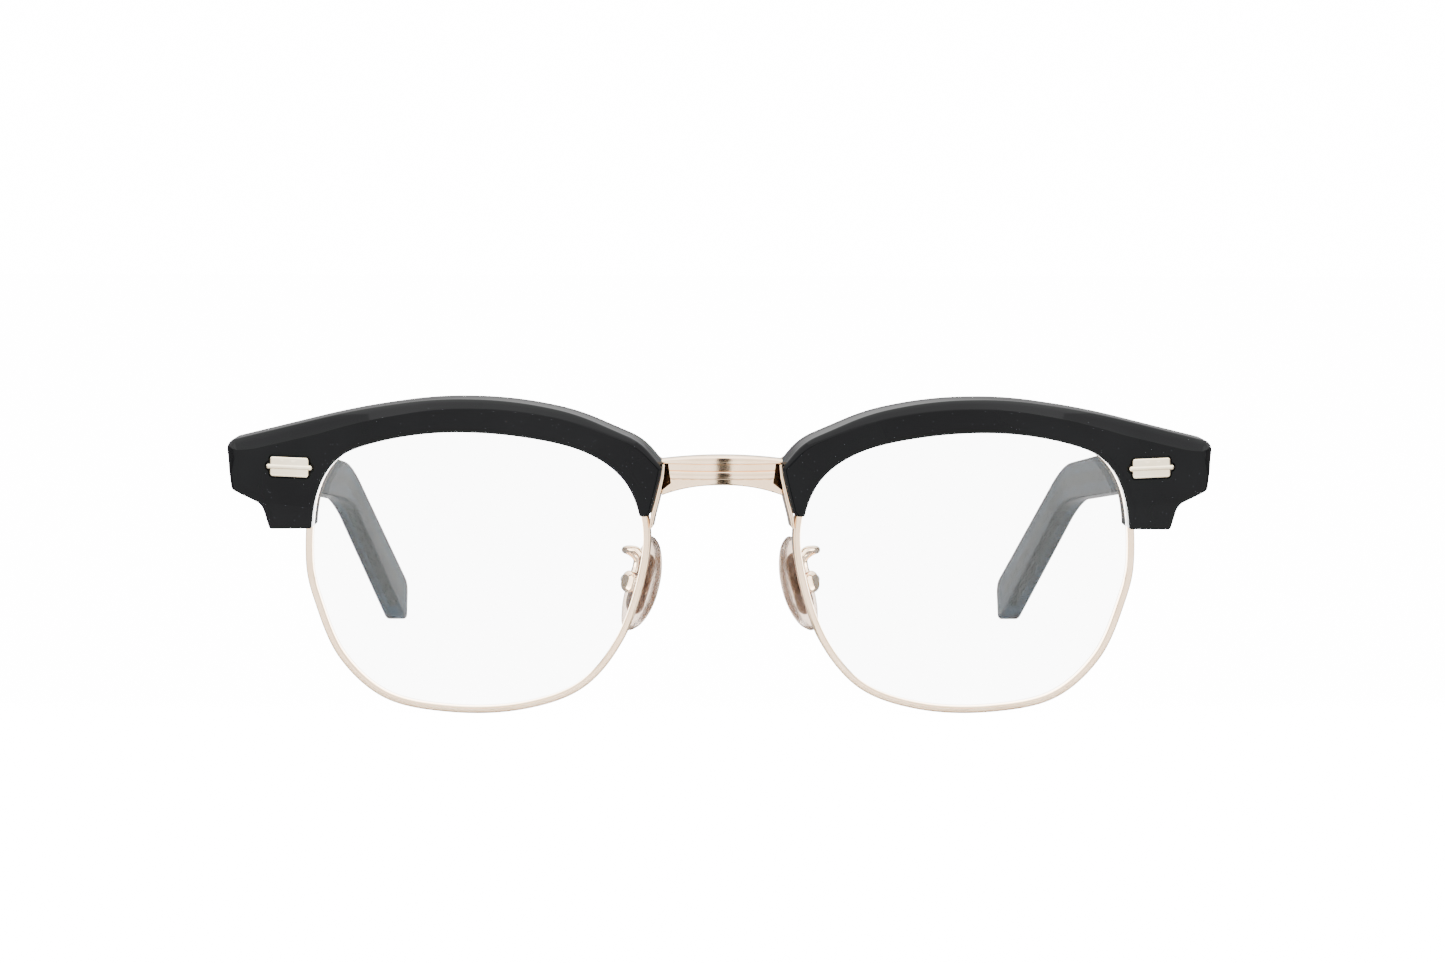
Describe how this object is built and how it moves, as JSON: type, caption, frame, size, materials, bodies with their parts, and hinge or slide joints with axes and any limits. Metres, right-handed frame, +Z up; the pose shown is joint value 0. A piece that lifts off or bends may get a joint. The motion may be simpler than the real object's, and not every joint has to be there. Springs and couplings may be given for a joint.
{
  "type": "half rim eyeglasses",
  "caption": "Browline eyeglasses: glossy black upper brows over slim polished metal rims, a double-ribbed metal bridge, adjustable nose pads and folding acetate temples with curved tips.",
  "frame": {"origin": "on the table, below the middle of the frame's overall box, as it stands on its rims and temple tips with the temples open", "axes": "+Z up, +Y from the front towards the ears, +X towards the wearer's left"},
  "size_m": [0.1456, 0.1568, 0.0467],
  "materials": {
    "rose_gold": "polished plating",
    "plaque_metal": "polished plating",
    "core_metal": "drawn wire",
    "steel": "polished",
    "black_acetate": "gloss",
    "smoke_acetate": "gloss, slightly see-through",
    "clear_lens": "clear, coated",
    "silicone": "clear, soft",
    "pad_plate": "satin"
  },
  "bodies": {
    "front": {"bridge": "rose_gold", "brow_left": "black_acetate", "brow_right": "black_acetate", "rim_left": "rose_gold", "rim_right": "rose_gold", "lens_left": "clear_lens", "lens_right": "clear_lens", "rim_lock_left": "rose_gold", "rim_lock_right": "rose_gold", "rim_lock_screw_left": "steel", "rim_lock_screw_right": "steel", "end_plaque_left": "plaque_metal", "end_plaque_right": "plaque_metal", "end_piece_left": "rose_gold", "end_piece_right": "rose_gold", "brow_screw_left": "steel", "brow_screw_right": "steel", "front_hinge_left": "steel", "front_hinge_right": "steel", "hinge_screw_left": "steel", "hinge_screw_right": "steel", "pad_arm_left": "rose_gold", "pad_arm_right": "rose_gold", "pad_box_left": "rose_gold", "pad_box_right": "rose_gold", "pad_screw_left": "steel", "pad_screw_right": "steel"},
    "temple_left": {"temple_hinge_left": "steel", "temple_left": "smoke_acetate", "temple_core_left": "core_metal", "temple_rivets_left": "plaque_metal"},
    "temple_right": {"temple_hinge_right": "steel", "temple_right": "smoke_acetate", "temple_core_right": "core_metal", "temple_rivets_right": "plaque_metal"},
    "pad_left": {"pad_core_left": "pad_plate", "nose_pad_left": "silicone"},
    "pad_right": {"pad_core_right": "pad_plate", "nose_pad_right": "silicone"}
  },
  "joints": [
    {"name": "temple_left_fold", "type": "hinge", "parent": "front", "child": "temple_left", "pos_m": [0.0642, -0.06009, 0.03662], "axis": [0, 0.0958, 0.9954], "range_deg": [0, 86]},
    {"name": "temple_right_fold", "type": "hinge", "parent": "front", "child": "temple_right", "pos_m": [-0.0642, -0.06009, 0.03662], "axis": [0, -0.0958, -0.9954], "range_deg": [0, 76]},
    {"name": "pad_left_rock", "type": "hinge", "parent": "front", "child": "pad_left", "pos_m": [0.0132, -0.06653, 0.01896], "axis": [0.5514, 0.8042, 0.2219], "range_deg": [-6, 6]},
    {"name": "pad_right_rock", "type": "hinge", "parent": "front", "child": "pad_right", "pos_m": [-0.0132, -0.06653, 0.01896], "axis": [0.5514, -0.8042, -0.2219], "range_deg": [-6, 6]}
  ]
}
